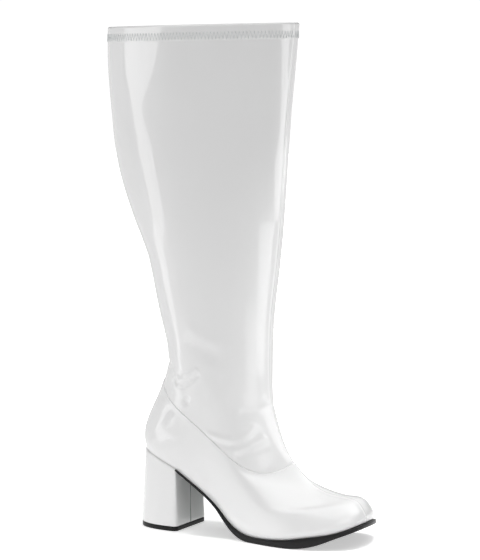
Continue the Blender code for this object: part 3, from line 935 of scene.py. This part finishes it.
# Bright cards round the boot, seen only in its gloss: radius, rows of height with the azimuths of
# the card's two edges, and strength
REFLECTORS = (
    ("left_card", 0.30, (
        (0.50, -95, -59), (0.463, -94.5, -64), (0.44, -94, -66), (0.42, -93, -69),
        (0.40, -90, -74.5), (0.383, -88.5, -79), (0.367, -87, -76), (0.347, -85.5, -72.5),
        (0.327, -84.5, -71), (0.30, -83, -70.5), (0.273, -83, -70.5), (0.247, -84.5, -71),
        (0.227, -87, -72.5), (0.207, -95, -81), (0.193, -99, -86), (0.175, -100, -86),
        (0.15, -97, -85), (0.13, -96, -86), (0.10, -95, -87), (0.08, -90, -80),
        (0.06, -85, -74.5), (0.033, -78, -68)), 2.5),
    ("fold_card", 0.30, (
        (0.095, -67, -60), (0.089, -75, -61), (0.082, -78, -66), (0.077, -78, -73)), 2.5),
    ("right_card", 0.30, (
        (0.50, 62, 92), (0.434, 67.5, 90), (0.402, 73.5, 96), (0.373, 82.5, 106), (0.350, 87, 120),
        (0.331, 79, 122), (0.315, 76, 122), (0.278, 83, 120), (0.256, 88, 118)), 2.5),
    ("shin_card", 0.30, (
        (0.252, 46, 90), (0.230, 49.5, 89), (0.203, 51.5, 91), (0.155, 59, 94), (0.139, 63, 94),
        (0.120, 53, 88)), 2.5),
    ("high_card", 0.75, ((1.15, -80, 45), (0.62, -80, 45)), 1.4),
    ("toe_card", 0.30, ((0.15, 30, 58), (0.05, 30, 58)), 1.8),
    ("rim_card", 0.31, ((0.50, 94, 152), (0.066, 105, 152)), 0.85),
    ("back_card", 0.31, ((0.50, -152, -98), (0.02, -152, -98)), 0.8),
)
# Dim cards that close the sides of the arch, as flags do: side, gap to the heel, then strength
FLAGS = (("camera_flag", -0.0305, 0.016, 0.2), ("far_flag", 0.0315, 0.003, 0.2))
FLAG_FRONT = 0.088
FLAG_COLUMNS = 24


def polar(turn, height, radius):
    """Point at an azimuth from the camera's direction, positive to the camera's right."""
    angle = CAMERA_TURN + math.radians(turn)
    return Vector((STAGE_X + radius * math.sin(angle), -radius * math.cos(angle), height))


def softbox(name, turn, height, radius, width, tall, power, aim, spread, mirrored):
    """Rectangular studio light that isn't seen by the camera."""
    lamp = bpy.data.lights.new(name, "AREA")
    lamp.shape = "RECTANGLE"
    lamp.size, lamp.size_y = width, tall
    lamp.energy = power
    lamp.spread = math.radians(spread)
    obj = new_object(name, lamp)
    obj.location = polar(turn, height, radius)
    obj.rotation_euler = (Vector(aim) - obj.location).to_track_quat("-Z", "Y").to_euler()
    obj.visible_camera = False
    obj.visible_glossy = mirrored


def glow_material(name, shade, power):
    """Material that only glows."""
    material = bpy.data.materials.new(name)
    material.use_nodes = True
    tree = material.node_tree
    tree.nodes.clear()
    glow = add_node(tree, "ShaderNodeEmission", {"Color": (*shade, 1.0), "Strength": power})
    add_node(tree, "ShaderNodeOutputMaterial", links={"Surface": glow.outputs[0]})
    return material


def reflector(name, radius, rows, power):
    """Curved glowing card that only mirror reflections see."""
    steps = 6
    points = [polar(low + (high - low) * k / steps, height, radius)
              for height, low, high in rows for k in range(steps + 1)]
    faces = grid_faces(len(rows), steps + 1, close=False)
    card = new_piece(name, points, faces, [glow_material(name, (1, 1, 1), power)], smooth=False)
    card.visible_camera = card.visible_diffuse = card.visible_shadow = False


def flag(name, side, gap, power):
    """Dim card beside the arch that keeps the studio's light off the heel breast."""
    x = np.linspace(BREAST_X + gap, FLAG_FRONT, FLAG_COLUMNS)
    below, lowest, bottom = 0.0015, 0.0004, 0.0002
    top = np.maximum(underside_height((x + SEAT_BACK) / FOOT_LENGTH) - below, lowest)
    points = [(a, side, bottom) for a in x] + [(a, side, b) for a, b in zip(x, top)]
    faces = grid_faces(2, FLAG_COLUMNS, close=False)
    glow = glow_material(name, (0.93, 1.0, 0.95), power)
    card = new_piece(name, points, faces, [glow], smooth=False)
    card.visible_camera = card.visible_shadow = False


class BOOT_OT_stage(bpy.types.Operator):
    """Pale floor, soft studio lights and the camera at the photograph's angle"""

    bl_idname = "boot.stage"
    bl_label = "Studio"

    def execute(self, context):
        scene = context.scene
        material, tree, shader = new_material(
            "studio_floor", "matt paper", scene.boot_colours.floor, Roughness=0.9,
            Specular_IOR_Level=0.1)
        # Painted light: the floor glows as well as taking the lamps' light.
        shader.inputs["Emission Color"].default_value = (1, 1, 1, 1)
        grain = add_node(tree, "ShaderNodeTexNoise", {"Scale": 40.0, "Detail": 3.0})
        tone = add_node(tree, "ShaderNodeBump", {"Strength": 0.02, "Distance": 0.0002},
                        {"Height": grain.outputs["Fac"]})
        tree.links.new(tone.outputs["Normal"], shader.inputs["Normal"])
        where = add_node(tree, "ShaderNodeTexCoord")
        away = add_node(tree, "ShaderNodeVectorMath", {"operation": "LENGTH"},
                        {0: where.outputs["Object"]})
        # For the camera the glow grows with distance from the boot: white far off, and a painted
        # shade round the boot.
        fade = add_node(tree, "ShaderNodeMapRange",
                        {"From Min": 0.2, "From Max": 0.9, "To Min": 0.5, "To Max": 1.1},
                        {"Value": away.outputs["Value"]})
        ray = add_node(tree, "ShaderNodeLightPath")
        # For all other rays the floor glows more near the boot: painted bounce light on the foot.
        painted_bounce_glow = add_node(tree, "ShaderNodeMapRange",
                          {"From Min": 0.1, "From Max": 0.9, "To Min": 0.5, "To Max": 0.25},
                          {"Value": away.outputs["Value"]})
        glow = add_node(tree, "ShaderNodeMapRange", links={
            "Value": ray.outputs["Is Camera Ray"], "To Min": painted_bounce_glow.outputs["Result"],
            "To Max": fade.outputs["Result"]})
        tree.links.new(glow.outputs["Result"], shader.inputs["Emission Strength"])
        corners = [(x * FLOOR_HALF, y * FLOOR_HALF, FLOOR_LEVEL)
                   for x, y in ((-1, -1), (1, -1), (1, 1), (-1, 1))]
        floor = new_piece("studio_floor", corners, [(0, 1, 2, 3)], [material], smooth=False)

        for card in REFLECTORS:
            reflector(*card)
        for card in FLAGS:
            flag(*card)
        for light in LIGHTS:
            softbox(*light)

        world = bpy.data.worlds.new("studio_air")
        scene.world = world
        world.use_nodes = True
        air = world.node_tree
        back = air.nodes["Background"]
        back.inputs["Color"].default_value = (1, 1, 1, 1)
        back.inputs["Strength"].default_value = AIR_LIGHT
        seen = add_node(air, "ShaderNodeBackground", {"Color": (1, 1, 1, 1), "Strength": AIR_SEEN})
        path = add_node(air, "ShaderNodeLightPath")
        mix = add_node(air, "ShaderNodeMixShader", links={
            0: path.outputs["Is Camera Ray"], 1: back.outputs[0], 2: seen.outputs[0]})
        air.links.new(mix.outputs[0], air.nodes["World Output"].inputs[0])
        scene.view_settings.view_transform = "Standard"

        data = bpy.data.cameras.new("photo_camera")
        data.sensor_fit = "VERTICAL"
        data.sensor_height = SENSOR
        data.lens = FOCAL_PIXELS * SENSOR / IMAGE_HEIGHT
        data.clip_end = 30
        camera = new_object("photo_camera", data)
        camera.location = (CAMERA_AIM_X + CAMERA_DISTANCE * math.sin(CAMERA_TURN),
                           -CAMERA_DISTANCE * math.cos(CAMERA_TURN), CAMERA_HEIGHT)
        camera.rotation_euler = (math.pi / 2 - CAMERA_PITCH, 0.0, CAMERA_TURN)
        scene.camera = camera
        return {"FINISHED"}


class BOOT_PT_panel(bpy.types.Panel):
    """Sizes, colours and pieces of the boot"""

    bl_idname = "BOOT_PT_panel"
    bl_label = "Patent knee boot"
    bl_space_type = "VIEW_3D"
    bl_region_type = "UI"
    bl_category = "Boot"

    def draw(self, context):
        layout = self.layout
        for group in (context.scene.boot_sizes, context.scene.boot_colours):
            box = layout.box()
            for key in group.bl_rna.properties.keys():
                if key not in ("rna_type", "name"):
                    box.prop(group, key)
        for operator in OPERATORS:
            layout.operator(operator.bl_idname)


OPERATORS = (BOOT_OT_upper, BOOT_OT_stitches, BOOT_OT_outsole, BOOT_OT_heel, BOOT_OT_top_piece,
             BOOT_OT_sock, BOOT_OT_stage)
CLASSES = (BootSizes, BootColours, *OPERATORS, BOOT_PT_panel)


def register():
    for cls in CLASSES:
        bpy.utils.register_class(cls)
    bpy.types.Scene.boot_sizes = bpy.props.PointerProperty(type=BootSizes)
    bpy.types.Scene.boot_colours = bpy.props.PointerProperty(type=BootColours)


def unregister():
    del bpy.types.Scene.boot_colours
    del bpy.types.Scene.boot_sizes
    for cls in reversed(CLASSES):
        bpy.utils.unregister_class(cls)


def main():
    register()
    bpy.ops.boot.upper()
    bpy.ops.boot.stitches()
    bpy.ops.boot.outsole()
    bpy.ops.boot.heel()
    bpy.ops.boot.top_piece()
    bpy.ops.boot.sock()
    bpy.ops.boot.stage()


if __name__ == "__main__":
    main()
